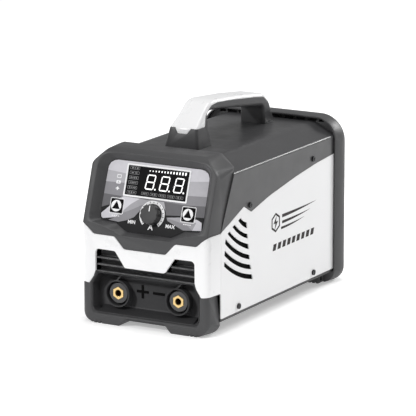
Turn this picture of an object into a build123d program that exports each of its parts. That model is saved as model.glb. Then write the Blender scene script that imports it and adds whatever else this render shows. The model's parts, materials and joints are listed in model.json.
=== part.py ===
from build123d import *
import os
from math import cos, radians, sin, tan

os.makedirs("parts", exist_ok=True)

# Driving dimensions in millimetres. X runs across the machine, Y from the front to the rear and Z up.
# The origin is on the floor, in the middle of the footprint.
depth = 264.0
side_half = 70.0  # outer faces of the side panels
nose_half = 66.6  # half width of the front face, where the sides taper in
nose_depth = 16.6  # length of that taper
shell = 2.5  # thickness of the mouldings
cover_top = 158.0
cover_flat = 47.5  # half width of the roof's level part
cover_crease = 146.2  # height at which the roof's slopes meet the sides
sheet = 1.0  # thickness of the side panels
bezel_half = 71.0
bezel_top = 162.4
panel_start = 18.4  # from the front to the side panels' front edge
rim_start = 239.0  # from the front to the rear frame's lip
rim_half = 74.0
rim_top = 164.0
rim_round = 11.0  # rounding round the back of the rear frame
sole_corner = 14.0
pan_top = 14.6
tilt = 18.5  # how far the control panel leans back, degrees
bay_floor = 11.5  # depth of the socket bay's back wall
socket_x = 32.0
socket_z = 29.3
seam = 0.2  # gap between neighbouring mouldings

front = -depth / 2
rear = depth / 2
lean = tan(radians(tilt))


def at_front(distance):
    """An upright plane facing forwards, this far behind the front face."""
    return Plane.XZ.offset(-(front + distance))


# The plane of the control film: local x runs to the right and local y up the panel.
film_plane = Plane(
    origin=(0, front + 18.66, 118.94),
    x_dir=(1, 0, 0),
    z_dir=(0, -cos(radians(tilt)), sin(radians(tilt))),
)


def outline(points):
    """A closed face through (a, b, corner radius) points, inside a sketch."""
    with BuildLine(Plane.XY) as edge_line:
        FilletPolyline(*[(a, b) for a, b, r in points], radius=[r for a, b, r in points], close=True)
    make_face(edge_line.edges())


def mirrored(points):
    """Points on the right, and the same points on the left in reverse order."""
    return points + [(-a, b, r) for a, b, r in reversed(points)]


def from_front(points):
    """Side-view points given from the front face, moved to the machine's own Y."""
    return [(front + a, b, r) for a, b, r in points]


def save(item, label):
    item.part.label = label
    export_step(item.part, f"parts/{label}.step")


# Lines that the front mouldings share, right half, from the outside in.
brow_line = [(66.4, 94.4, 3), (60.5, 90.0, 4), (54.5, 84.7, 5), (32.3, 84.5, 4), (22.0, 73.5, 4)]
grille_line = [(52.8, 49.8, 0.3), (52.6, 70.8, 4), (31.6, 70.6, 3), (21.2, 55.8, 3)]
cheek_line = [(70, 38.9, 0), (66.4, 38.2, 1), (59.5, 37.4, 1), (54.6, 44.7, 2)]

# Plan of the front mouldings: parallel sides that taper in to the front face.
nose_points = mirrored([(nose_half, front, 6), (side_half, front + nose_depth, 6), (side_half, rear, 0)])

# ---------------------------------------------------------------- front mouldings

film = 0.6
window_size = (65.4, 28.4)
window_at = (0.4, 15.3)
button_size = 12.6
button_x = 38.0
button_y = -9.9
dial_at = (0.3, -14.2)

# Openings through the bezel's floor for the window, the buttons and the knob's bushing
with BuildPart() as panel_holes:
    with BuildSketch(film_plane.offset(1)):
        with Locations(window_at):
            RectangleRounded(window_size[0] + 0.3, window_size[1] + 0.3, 0.8)
        with Locations((-button_x, button_y), (button_x, button_y)):
            RectangleRounded(button_size + 0.5, button_size + 0.5, 1.2)
        with Locations(dial_at):
            Circle(3.6)
    extrude(amount=-8)

# Upper bezel: a hooded frame that leans back round the control film.
hood_front = 9.66  # from the front face to the hood's rim plane, at the height below
hood_height = 121.95
hood_foot = hood_height - hood_front / lean
recess_depth = 9.5
film_half = 54.4


def hood_at(height, inset):
    """How far back the hood's leaning face is at a height, measured inset behind it."""
    return hood_front + (height - hood_height) * lean + inset / cos(radians(tilt))


seam_low = (18.0, 95.0)  # side view of the seam between the bezel and the cover
seam_slope = 0.49


def seam_at(height, back=0.0):
    return seam_low[0] + (height - seam_low[1]) * seam_slope + back


film_outline = mirrored([(film_half - 0.6, 33.0, 9), (film_half, -24.0, 4), (37, -25.5, 7), (24, -33.0, 6)])

# The bezel's upper corners: well rounded at the rim, then two slopes back to the seam.
with BuildPart() as bezel_form:
    with BuildSketch(at_front(-1)):
        outline(mirrored([(72, 60, 0), (66.4, 148, 12), (51, bezel_top, 12)]))
    extrude(amount=-23)
    with BuildSketch(at_front(22)):
        outline(mirrored([(72, 60, 0), (66.4, 148, 12), (51, bezel_top, 12)]))
    with BuildSketch(at_front(46)):
        outline(mirrored([(73, 60, 0), (68.6, 151.5, 4), (52.4, bezel_top, 8)]))
    loft()
    with BuildSketch(at_front(46)):
        outline(mirrored([(73, 60, 0), (68.6, 151.5, 4), (52.4, bezel_top, 8)]))
    extrude(amount=-30)

# The hollow behind the panel's floor.
with BuildPart() as bezel_hollow:
    with BuildSketch(Plane.YZ):
        inner = recess_depth + shell
        outline(
            from_front(
                [
                    (12.5, 40, 0),
                    (12.5, 94.5, 0),
                    (hood_at(bezel_top - 3, inner), bezel_top - 3, 4),
                    (110, bezel_top - 3, 0),
                    (110, 40, 0),
                ]
            )
        )
    extrude(amount=63.2, both=True)
    with BuildSketch(at_front(0)):
        outline(mirrored([(63.2, 30, 0), (63.2, 145, 3), (48.5, bezel_top - 3, 3)]))
    extrude(amount=-120, mode=Mode.INTERSECT)

with BuildPart() as front_bezel:
    with BuildSketch(Plane.YZ):
        outline(
            from_front(
                [
                    (0.5, 70, 0),
                    (0.5, hood_foot + 1.5, 6),
                    (hood_at(bezel_top, 0), bezel_top, 12),
                    (seam_at(bezel_top), bezel_top, 0),
                    (seam_low[0], seam_low[1], 0),
                    (seam_low[0], 70, 0),
                ]
            )
        )
    extrude(amount=bezel_half, both=True)
    add(bezel_form.part, mode=Mode.INTERSECT)
    # the sides taper in towards the leaning rim
    side_plane = Plane(origin=film_plane.origin, x_dir=(1, 0, 0), z_dir=film_plane.y_dir)
    with BuildSketch(side_plane.offset(-120)):
        rim = -recess_depth
        outline(
            mirrored([(66.0, rim - 30, 0), (66.0, rim, 3), (70.6, rim + 21, 8), (bezel_half, rim + 90, 0)])
        )
    extrude(amount=240, mode=Mode.INTERSECT)
    add(bezel_hollow.part, mode=Mode.SUBTRACT)
    # sloping walls down to the film
    with BuildSketch(film_plane):
        outline(film_outline)
    extrude(amount=26, taper=-34, mode=Mode.SUBTRACT)
    # the white fascia's region below the brow line
    with BuildSketch(at_front(-5)):
        outline(mirrored([(90, 40, 0), (90, 95.4, 0), (70.5, 95.3, 0)] + brow_line))
    extrude(amount=-80, mode=Mode.SUBTRACT)
    add(panel_holes.part, mode=Mode.SUBTRACT)
save(front_bezel, "front_bezel")


def low(points, drop):
    """The same points, lowered by a small gap."""
    return [(a, b - drop, r) for a, b, r in points]


# White fascia: the band between the bezel and the grille, with the cheeks beside the socket bay.
with BuildPart() as front_fascia:
    with BuildSketch(at_front(0)):
        outline(mirrored(grille_line[::-1] + cheek_line[::-1] + [(70, 95.1, 0)] + low(brow_line, seam)))
    extrude(amount=-(panel_start - seam))
    with BuildSketch(Plane.XY):
        outline(nose_points)
    extrude(amount=bezel_top, mode=Mode.INTERSECT)
    with BuildSketch(at_front(shell + 0.5)):
        Rectangle(2 * (nose_half - 3.4), 200)
    extrude(amount=-40, mode=Mode.SUBTRACT)
save(front_fascia, "front_fascia")

# Dark bumper: both front feet and the lip under the socket bay.
bay_line = [(52.0, 49.4, 0.3), (52.0, 46.8, 1), (57.0, 38.4, 1), (57.0, 9.8, 7)]
bay_chamfer = 1.5
arch = [(22.6, 5.3, 1.5), (27.6, 0, 1.5)]  # the arch between the feet
foot_line = arch + [(70, 0, 0)]
foot_back = 26.0
foot_height = 11.8
foot_in = 29.0
foot_out = 60.0
rib_gap = 1.8
rib_depth = 1.9
ribs = 4


def foot_grooves(start, length):
    """Shallow grooves across the sole of both feet, near the outer ends."""
    for side in (-1, 1):
        for i in range(ribs):
            with Locations((side * (47.0 + 4.2 * i), start + length / 2, 0)):
                Box(rib_gap, length, 2 * rib_depth, mode=Mode.SUBTRACT)


def sole_outline(half):
    return mirrored([(half, 0, sole_corner), (half, 100, 0)])


# The rounded lower corners, which follow the taper of the sides.
with BuildPart() as sole_form:
    with BuildSketch(at_front(0)):
        outline(sole_outline(nose_half))
    with BuildSketch(at_front(nose_depth)):
        outline(sole_outline(side_half))
    loft()
    with BuildSketch(at_front(nose_depth)):
        outline(sole_outline(side_half))
    extrude(amount=-20)

with BuildPart() as front_bumper:
    with BuildSketch(at_front(0)):
        outline(mirrored(foot_line + low(cheek_line, seam)[1:] + [(52.8, 49.4, 0)] + bay_line))
    extrude(amount=-(panel_start - seam))
    for side in (-1, 1):
        heel_middle = (side * (foot_in + foot_out) / 2, front + (panel_start - 1 + foot_back) / 2)
        with Locations((*heel_middle, foot_height / 2)):
            Box(foot_out - foot_in, foot_back - panel_start + 1, foot_height)
    with BuildSketch(at_front(0)):
        outline([(-24, 4, 0), (24, 4, 0), (20, 8.2, 0), (-20, 8.2, 0)])
    extrude(amount=-3, mode=Mode.SUBTRACT)
    # chamfer round the socket bay's opening
    with BuildSketch(at_front(0)):
        outline(mirrored([(a + bay_chamfer, b, r) for a, b, r in bay_line[:3]] + [(58.5, 8.3, 8)]))
    extrude(amount=-bay_chamfer, taper=45, mode=Mode.SUBTRACT)
    foot_grooves(front - 1, foot_back + 5)
    with BuildSketch(Plane.XY):
        outline(nose_points)
    extrude(amount=bezel_top, mode=Mode.INTERSECT)
    add(sole_form.part, mode=Mode.INTERSECT)
save(front_bumper, "front_bumper")

# Socket bay: a tray set into the bumper, with a round guard about each socket.
guard_out = 12.9
guard_in = 11.5
guard_front = 4.6
bay_back = bay_floor + shell
bay_half = 56.7
with BuildPart() as socket_bay:
    bay_outline = [(51.6, 48.6, 1), (51.6, 46.7, 1), (bay_half, 38.2, 1), (bay_half, 10.2, 6.6)]
    with BuildSketch(at_front(1.2)):
        outline(mirrored(bay_outline))
    extrude(amount=-(bay_back - 1.2))
    inner_half = bay_half - 0.6
    with BuildSketch(at_front(1.2)):
        outline(mirrored([(50.9, 47.9, 1), (50.9, 46.4, 1), (inner_half, 38.0, 1), (inner_half, 10.9, 6)]))
    extrude(amount=-(bay_floor - 1.2), taper=9, mode=Mode.SUBTRACT)
    # the floor slopes up to the back wall
    with BuildSketch(Plane.YZ):
        outline(
            from_front(
                [(1.6, 10.5, 0), (bay_floor + 1, 10.5, 0), (bay_floor + 1, 16.0, 0), (bay_floor, 16.0, 0)]
            )
        )
    extrude(amount=50, both=True)
    for side in (-1, 1):
        guard = at_front(guard_front)
        with BuildSketch(guard):
            with Locations((side * socket_x, socket_z)):
                Circle(guard_out)
                Circle(guard_in, mode=Mode.SUBTRACT)
        extrude(amount=-(bay_floor - guard_front + 0.5))
        # web from the guard up to the bay's ceiling
        with BuildSketch(guard):
            web = ((-2.0, 41.5), (0.0, 41.5), (6.5, 48.0), (4.0, 48.0))
            outline([(side * socket_x + a, b, 0) for a, b in web])
        extrude(amount=-(bay_floor - guard_front + 0.5))
    for side in (-1, 1):
        with BuildSketch(at_front(0)):
            with Locations((side * socket_x, socket_z)):
                Circle(8.1)
        extrude(amount=-40, mode=Mode.SUBTRACT)
    with BuildSketch(at_front(bay_floor)):
        with Locations(*[(side * socket_x, socket_z) for side in (-1, 1)]):
            Circle(10.1)
    extrude(amount=-1.0, mode=Mode.SUBTRACT)
save(socket_bay, "socket_bay")

# Grille: three bars across the top of the bay, in front of a dark backing plate.
bar_heights = (62.4, 56.0, 49.6)
grille_fit = [(51.4, 69.6, 4), (32.0, 69.4, 3), (21.6, 54.6, 3)]
with BuildPart() as front_grille:
    with BuildSketch(at_front(9)):
        outline(mirrored([(51.6, 49.6, 0.3)] + grille_fit))
    extrude(amount=-1.5)
    for height in bar_heights:
        with BuildSketch(at_front(1.6)):
            with Locations((0, height)):
                Rectangle(104.0, 1.3)
        extrude(amount=-7.6)
    with BuildSketch(at_front(-1)):
        outline(mirrored([(51.6, 48.8, 0.2)] + grille_fit))
    extrude(amount=-20, mode=Mode.INTERSECT)
save(front_grille, "front_grille")

# Raised plus and minus marks between the sockets.
mark_x = 8.6
mark_z = 32.6
with BuildPart() as polarity_marks:
    with BuildSketch(at_front(bay_floor)):
        with Locations((-mark_x, mark_z), (mark_x, mark_z)):
            Rectangle(12.4, 2.3)
        with Locations((-mark_x, mark_z)):
            Rectangle(2.3, 12.4)
    extrude(amount=0.5)
save(polarity_marks, "polarity_marks")

# ---------------------------------------------------------------- covers

panel_rear = rim_start + 4.6
skirt_line = [
    (panel_start, 95.4, 0),
    (40, 103.4, 20),
    (61.5, 111.7, 1),
    (75.6, 104.1, 2),
    (110, 112.2, 60),
    (163, 120.7, 90),
    (205, 125.9, 60),
    (panel_rear, 128.8, 0),
]


def cover_outline(inset):
    """The roof's cross section, pulled in by the inset: level in the middle, sloping to a crease."""
    crease = (side_half - inset, cover_crease - 0.6 * inset, 2.5)
    return mirrored([(side_half - inset, 60, 0), crease, (cover_flat - 0.26 * inset, cover_top - inset, 20)])


screw_upper = [(72.7, 111.1), (197.1, 131.4)]
screw_lower = [(51.1, 20.0), (198.8, 19.8)]
screw_hole = 1.7

# Dark top cover: a folded roof whose side skirts end on the sweeping line above the white panels.
handle_bolts = [(x, y) for x in (-8, 8) for y in (79.0, 216.5)]
with BuildPart() as top_cover:
    with BuildSketch(at_front(panel_start)):
        outline(cover_outline(0))
    extrude(amount=-(panel_rear - panel_start))
    with BuildSketch(at_front(panel_start - 5)):
        outline(cover_outline(2.0)[1:-1] + [(-68, 40, 0), (68, 40, 0)])
    extrude(amount=-(panel_rear + 10), mode=Mode.SUBTRACT)
    with BuildSketch(Plane.YZ):
        skirt_end = [(panel_rear + 5, 129, 0), (panel_rear + 5, 40, 0)]
        outline(from_front([(0, 40, 0)] + low(skirt_line, -seam) + skirt_end))
    extrude(amount=90, both=True, mode=Mode.SUBTRACT)
    with BuildSketch(Plane.YZ):
        seam_cut = [(seam_at(60, seam), 60, 0), (seam_at(200, seam), 200, 0), (-50, 200, 0), (-50, 60, 0)]
        outline(from_front(seam_cut))
    extrude(amount=90, both=True, mode=Mode.SUBTRACT)
    with Locations(*[Location((0, front + y, z), (0, 90, 0)) for y, z in screw_upper]):
        Cylinder(screw_hole, 200, mode=Mode.SUBTRACT)
    with Locations(*[(x, front + y, cover_top) for x, y in handle_bolts]):
        Cylinder(2.7, 20, mode=Mode.SUBTRACT)
save(top_cover, "top_cover")

# White side panels with six curved louvres each, given by the corners of every slot.
louvres = [
    [(55.2, 102.6), (67.1, 95.7), (68.0, 90.0), (50.7, 100.8)],
    [(44.4, 98.5), (68.6, 84.5), (69.3, 80.1), (39.9, 97.0)],
    [(34.6, 94.2), (70.5, 74.7), (71.2, 69.7), (30.6, 92.6)],
    [(27.1, 88.9), (72.4, 64.0), (73.1, 59.5), (26.0, 84.1)],
    [(25.7, 78.2), (74.3, 54.2), (76.1, 49.5), (24.8, 73.2)],
    [(24.8, 67.8), (77.4, 44.4), (78.8, 39.5), (24.3, 63.2)],
]
louvre_sag = 0.055  # how far each louvre's arc hangs below its chord, as a share of its length
with BuildPart() as side_panel_right:
    with BuildSketch(Plane.YZ.offset(side_half - sheet)):
        lower_edge = [(panel_start, pan_top + 0.2, 1), (panel_rear, pan_top + 0.2, 0)]
        outline(from_front(skirt_line[::-1] + lower_edge))
    extrude(amount=sheet)
    with BuildSketch(Plane.YZ.offset(side_half - 5)):
        for slot in louvres:
            corners = [Vector(front + y, z) for y, z in slot]
            with BuildLine(Plane.XY) as slot_line:
                upper_left, upper_right, lower_right, lower_left = corners
                SagittaArc(upper_left, upper_right, -(upper_right - upper_left).length * louvre_sag)
                Line(upper_right, lower_right)
                SagittaArc(lower_right, lower_left, (lower_left - lower_right).length * louvre_sag)
                Line(lower_left, upper_left)
            make_face(slot_line.edges())
    extrude(amount=10, mode=Mode.SUBTRACT)
    with Locations(*[Location((side_half, front + y, z), (0, 90, 0)) for y, z in screw_lower]):
        Cylinder(screw_hole, 20, mode=Mode.SUBTRACT)
save(side_panel_right, "side_panel_right")

with BuildPart() as side_panel_left:
    mirror(side_panel_right.part, about=Plane.YZ)
save(side_panel_left, "side_panel_left")

# Pan head screws: two above and two below on each side, each on its own threaded clip.
with BuildPart() as side_screws:
    for side in (-1, 1):
        for y, z in screw_upper + screw_lower:
            face = Plane(origin=(side * side_half, front + y, z), x_dir=(0, 1, 0), z_dir=(side, 0, 0))
            with BuildSketch(face.offset(0.02)):
                Circle(2.7)
            extrude(amount=1.5)
            with BuildSketch(face.offset(0.02)):
                Circle(screw_hole - 0.1)
            extrude(amount=-6.5)
            with BuildSketch(face.offset(1.55)):
                Rectangle(3.2, 0.7)
                Rectangle(0.7, 3.2)
            extrude(amount=-0.9, mode=Mode.SUBTRACT)
save(side_screws, "side_screws")

# Base pan: folded sheet that carries the boards, with upright flanges for the lower screws.
with BuildPart() as base_pan:
    with Locations((0, front + (panel_start + panel_rear) / 2, 13.3)):
        Box(2 * side_half - 0.8, panel_rear - panel_start, 2.2)
    for side in (-1, 1):
        with Locations((side * 66.5, front + (panel_start + 8 + rim_start) / 2, 20.5)):
            Box(1.5, rim_start - panel_start - 12, 13)
    with Locations(*[Location((0, front + y, z), (0, 90, 0)) for y, z in screw_lower]):
        Cylinder(screw_hole, 160, mode=Mode.SUBTRACT)
save(base_pan, "base_pan")

# ---------------------------------------------------------------- rear frame and rear panel


def rim_outline(half, top, corner):
    return mirrored(arch + [(half, 0, sole_corner), (half, top, corner)])


vent_pitch = 12.5
vent_count = 8
vent_size = (10.3, 4.0)
end_vent = (54.2, 6.2)  # centre and width of the shorter vent at each end of the row
rim_flare = 10.0
rim_corner = 26.0
window_half = 62.0
# the rear frame's outer form, rounded all round its back
with BuildPart() as rim_form:
    with BuildSketch(at_front(rim_start - 12)):
        outline(mirrored([(rim_half, 0, sole_corner), (rim_half, rim_top, rim_corner)]))
    extrude(amount=-(depth - rim_start + 12))
    fillet(rim_form.faces().sort_by(Axis.Y)[-1].edges(), rim_round)

with BuildPart() as rear_frame:
    with BuildSketch(at_front(rim_start)):
        outline(rim_outline(72.2, 163.2, 21))
    with BuildSketch(at_front(rim_start + rim_flare)):
        outline(rim_outline(rim_half, rim_top, rim_corner))
    loft()
    with BuildSketch(at_front(rim_start + rim_flare)):
        outline(rim_outline(rim_half, rim_top, rim_corner))
    extrude(amount=-(depth - rim_start - rim_flare))
    # pocket that takes the rear edges of the covers, with a shadow gap round them
    with BuildSketch(at_front(rim_start - 1)):
        outline(mirrored([(70.9, 12.0, 1), (70.9, 161.6, 20)]))
    extrude(amount=-(panel_rear - rim_start + 1.2), mode=Mode.SUBTRACT)
    with BuildSketch(at_front(rim_start)):
        outline(mirrored([(window_half, 18.0, 6), (window_half, 150.0, 6)]))
    extrude(amount=-40, mode=Mode.SUBTRACT)
    for side in (-1, 1):
        with Locations((side * (foot_in + foot_out) / 2, front + 235.5, foot_height / 2)):
            Box(foot_out - foot_in, 9.5, foot_height)
        with Locations((side * (foot_out - 1), front + 235.0, 5.6)):
            Box(5, 5.4, 5.6, mode=Mode.SUBTRACT)
    foot_grooves(front + 229, 30)
    vent_plane = at_front(rim_start - 1)
    with BuildSketch(vent_plane):
        with Locations(*[((i - (vent_count - 1) / 2) * vent_pitch, 159.2) for i in range(vent_count)]):
            Rectangle(*vent_size)
        with Locations((-end_vent[0], 159.2), (end_vent[0], 159.2)):
            Rectangle(end_vent[1], vent_size[1])
    extrude(amount=-12, mode=Mode.SUBTRACT)
    add(rim_form.part, mode=Mode.INTERSECT)
save(rear_frame, "rear_frame")

# Rear panel: flat plate inside the covers, with the fan opening and the mains fittings.
plate_front = 241.0
plate = 2.4
fan_x = 0.0
fan_z = 92.0
fan_reach = 37.0
gland_x = 38.0
gland_z = 34.0
switch_x = -32.0
switch_z = 34.0
earth_x = 6.0
earth_z = 32.0
with BuildPart() as rear_panel:
    with BuildSketch(at_front(plate_front)):
        lower_sides = [(65.6, 14.9, 1), (65.6, 30.0, 0), (67.6, 30.0, 0)]
        outline(mirrored(lower_sides + [(67.6, 144.8, 2.5), (47.2, 154.8, 6)]))
        with Locations((fan_x, fan_z)):
            Circle(fan_reach, mode=Mode.SUBTRACT)
            with GridLocations(71.5, 71.5, 2, 2):
                Circle(2.2, mode=Mode.SUBTRACT)
        with Locations((gland_x, gland_z)):
            Circle(8.1, mode=Mode.SUBTRACT)
        with Locations((switch_x, switch_z)):
            Rectangle(27.4, 20.6, mode=Mode.SUBTRACT)
        with Locations((earth_x, earth_z)):
            Circle(3.1, mode=Mode.SUBTRACT)
    extrude(amount=-plate)
save(rear_panel, "rear_panel")

# ---------------------------------------------------------------- carrying handle

handle_half = 13.2
handle_base = cover_top + 0.05
handle_outer = [
    (66.5, handle_base, 0),
    (71.0, 176.5, 6),
    (99.0, 197.4, 12),
    (108.0, 198.4, 14),
    (156.0, 194.4, 160),
    (204.0, 188.6, 16),
    (214.5, 179.5, 14),
    (225.2, handle_base, 0),
]
handle_gap = [
    (94.8, cover_top - 1, 0),
    (93.8, 189.4, 6),
    (112.0, 188.6, 30),
    (157.0, 182.8, 120),
    (202.5, 176.4, 6),
    (204.0, cover_top - 1, 0),
]
cap_base = 176.5
cap_edge = [
    (60.0, cap_base, 0),
    (86.0, cap_base, 1),
    (90.5, 186.5, 5),
    (100.5, 194.0, 8),
    (113.0, 195.2, 40),
    (144.0, 192.5, 120),
    (183.0, 188.0, 90),
    (203.0, 185.2, 12),
    (214.0, 176.6, 0),
    (240.0, 185.0, 0),
    (220.0, 215.0, 0),
    (60.0, 215.0, 0),
]
# front view of the handle: the front leg flares out towards its foot
with BuildPart() as handle_width:
    with BuildSketch(at_front(60)):
        outline(mirrored([(18.0, cover_top - 1, 0), (handle_half, 186, 12), (handle_half, 205, 0)]))
    extrude(amount=-60)
    with BuildSketch(at_front(120)):
        outline(mirrored([(handle_half, cover_top - 1, 0), (handle_half, 205, 0)]))
    extrude(amount=-120)

with BuildPart() as handle_body:
    with BuildSketch(Plane.YZ):
        outline(from_front(handle_outer))
        with BuildLine(Plane.XY) as gap_edge:
            corners = from_front(handle_gap)
            FilletPolyline(*[(a, b) for a, b, r in corners], radius=[r for a, b, r in corners], close=True)
        make_face(gap_edge.edges(), mode=Mode.SUBTRACT)
    extrude(amount=20, both=True)
    add(handle_width.part, mode=Mode.INTERSECT)
    long_edges = handle_body.edges().filter_by(lambda e: abs(e.center().X) > handle_half - 0.3)
    fillet(long_edges.filter_by(lambda e: e.center().Z > handle_base + 1), 3.0)

# the white cap's share of the handle, with the notch in its front edge
with BuildPart() as cap_zone:
    with BuildSketch(Plane.YZ):
        outline(from_front(cap_edge))
    extrude(amount=30, both=True)
    with BuildSketch(at_front(60)):
        outline(mirrored([(4.8, cap_base - 5, 1), (9.0, cap_base + 1, 0)]))
    extrude(amount=-13.5)

with BuildPart() as handle_cap:
    add(handle_body.part)
    add(cap_zone.part, mode=Mode.INTERSECT)
save(handle_cap, "handle_cap")

with BuildPart() as handle_core:
    add(handle_body.part)
    add(cap_zone.part, mode=Mode.SUBTRACT)
    with Locations(*[(x, front + y, cover_top) for x, y in handle_bolts]):
        Cylinder(2.3, 28, mode=Mode.SUBTRACT)
save(handle_core, "handle_core")

with BuildPart() as handle_screws:
    for x, y in handle_bolts:
        with BuildSketch(Plane.XY.offset(cover_top - 2.05)):
            with Locations((x, front + y)):
                Circle(4.5)
        extrude(amount=-3)
        with BuildSketch(Plane.XY.offset(cover_top - 2.05)):
            with Locations((x, front + y)):
                Circle(2.2)
        extrude(amount=15)
save(handle_screws, "handle_screws")

# ---------------------------------------------------------------- control panel

knob_radius = 9.6
knob_height = 6.2
shaft_reach = 3.9  # how far the shaft goes up the knob's bore
board_drop = 12.6  # control board's front face, behind the film

with BuildPart() as control_film:
    with BuildSketch(film_plane.offset(0.02)):
        outline([(a - 0.3 * (1 if a > 0 else -1), b * 0.99, r) for a, b, r in film_outline])
    extrude(amount=film)
    add(panel_holes.part, mode=Mode.SUBTRACT)
save(control_film, "control_film")

with BuildPart() as display_window:
    with BuildSketch(film_plane.offset(film + 0.3)):
        with Locations(window_at):
            RectangleRounded(window_size[0], window_size[1], 0.6)
    extrude(amount=-(shell + film))
save(display_window, "display_window")

with BuildPart() as display_module:
    with BuildSketch(film_plane.offset(-shell - 0.1)):
        with Locations(window_at):
            Rectangle(60.0, 25.0)
    extrude(amount=-7.0)
    with BuildSketch(film_plane.offset(-shell - 7.1)):
        for row in (-9.0, 9.0):
            with Locations((window_at[0], window_at[1] + row)):
                with GridLocations(5.08, 1, 10, 1):
                    Circle(0.35)
    extrude(amount=-(board_drop - shell - 7.15))
save(display_module, "display_module")


def button(side, label):
    with BuildPart() as cap:
        with BuildSketch(film_plane.offset(film + 1.3)):
            with Locations((side * button_x, button_y)):
                RectangleRounded(button_size, button_size, 1.0)
        extrude(amount=-(shell + film + 1.7))
        fillet(cap.faces().sort_by(lambda f: -f.center().dot(film_plane.z_dir))[0].edges(), 0.5)
    save(cap, label)
    return cap


left_button = button(-1, "left_button")
right_button = button(1, "right_button")

with BuildPart() as button_switches:
    for side in (-1, 1):
        with BuildSketch(film_plane.offset(-board_drop + 0.02)):
            with Locations((side * button_x, button_y)):
                Rectangle(6.2, 6.2)
        extrude(amount=3.5)
        with BuildSketch(film_plane.offset(-shell - 1.5)):
            with Locations((side * button_x, button_y)):
                Circle(1.7)
        extrude(amount=-(board_drop - shell - 4.5))
save(button_switches, "button_switches")

# Fluted knob on the current control's shaft.
knob_base = film + 0.4
flutes = 10
with BuildPart() as current_knob:
    with BuildSketch(film_plane.offset(knob_base)):
        with Locations(dial_at):
            Circle(knob_radius)
    extrude(amount=knob_height, taper=2.5)
    with BuildSketch(film_plane.offset(knob_base + 1.8)):
        with Locations(dial_at):
            with PolarLocations(knob_radius + 0.7, flutes):
                Circle(1.7)
    extrude(amount=knob_height, mode=Mode.SUBTRACT)
    top_rim = current_knob.faces().sort_by(lambda f: f.center().dot(film_plane.z_dir))[-1]
    chamfer(top_rim.edges(), 0.45)
    with BuildSketch(film_plane.offset(knob_base + knob_height + 1)):
        with Locations((dial_at[0], dial_at[1] + 5.2)):
            Rectangle(1.1, 5.4)
    extrude(amount=-1.6, mode=Mode.SUBTRACT)
    with BuildSketch(film_plane.offset(knob_base - 1)):
        with Locations(dial_at):
            Circle(3.0)
    extrude(amount=shaft_reach + 1.1, mode=Mode.SUBTRACT)
save(current_knob, "current_knob")

with BuildPart() as knob_pointer:
    with BuildSketch(film_plane.offset(knob_base + knob_height - 0.6)):
        with Locations((dial_at[0], dial_at[1] + 5.2)):
            Rectangle(1.0, 5.2)
    extrude(amount=0.65)
save(knob_pointer, "knob_pointer")

with BuildPart() as control_shaft:
    with BuildSketch(film_plane.offset(knob_base + shaft_reach)):
        with Locations(dial_at):
            Circle(2.98)
    extrude(amount=-shaft_reach - 9.1)
save(control_shaft, "control_shaft")

with BuildPart() as control_potentiometer:
    with BuildSketch(film_plane.offset(-shell - 0.05)):
        with Locations(dial_at):
            Circle(8.2)
    extrude(amount=-8.0)
    with BuildSketch(film_plane.offset(0)):
        with Locations(dial_at):
            Circle(3.5)
    extrude(amount=-shell - 0.1)
    with BuildSketch(film_plane.offset(1)):
        with Locations(dial_at):
            Circle(3.04)
    extrude(amount=-10.5, mode=Mode.SUBTRACT)
save(control_potentiometer, "control_potentiometer")

board_points = [(-48, 27), (48, 27), (-48, -20.5), (48, -20.5)]
with BuildPart() as control_board:
    with BuildSketch(film_plane.offset(-board_drop)):
        with Locations((0, 3.0)):
            Rectangle(102, 54)
        with Locations(*board_points):
            Circle(1.6, mode=Mode.SUBTRACT)
    extrude(amount=-1.6)
save(control_board, "control_board")

with BuildPart() as board_posts:
    for x, y in board_points:
        with BuildSketch(film_plane.offset(-shell - 0.05)):
            with Locations((x, y)):
                Circle(3.0)
        extrude(amount=-(board_drop - shell - 0.1))
        with BuildSketch(film_plane.offset(-shell - 0.05)):
            with Locations((x, y)):
                Circle(1.45)
        extrude(amount=-(board_drop - shell + 3.0))
save(board_posts, "board_posts")

# ---------------------------------------------------------------- output sockets

hex_corner = 6.1  # brass insert, centre to corner
socket_bore = 3.25
bore_depth = 13.0
disc_front = 6.8
insert_front = 6.2


def at_socket(side, distance):
    return Plane(origin=(side * socket_x, front + distance, socket_z), x_dir=(1, 0, 0), z_dir=(0, -1, 0))


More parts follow.
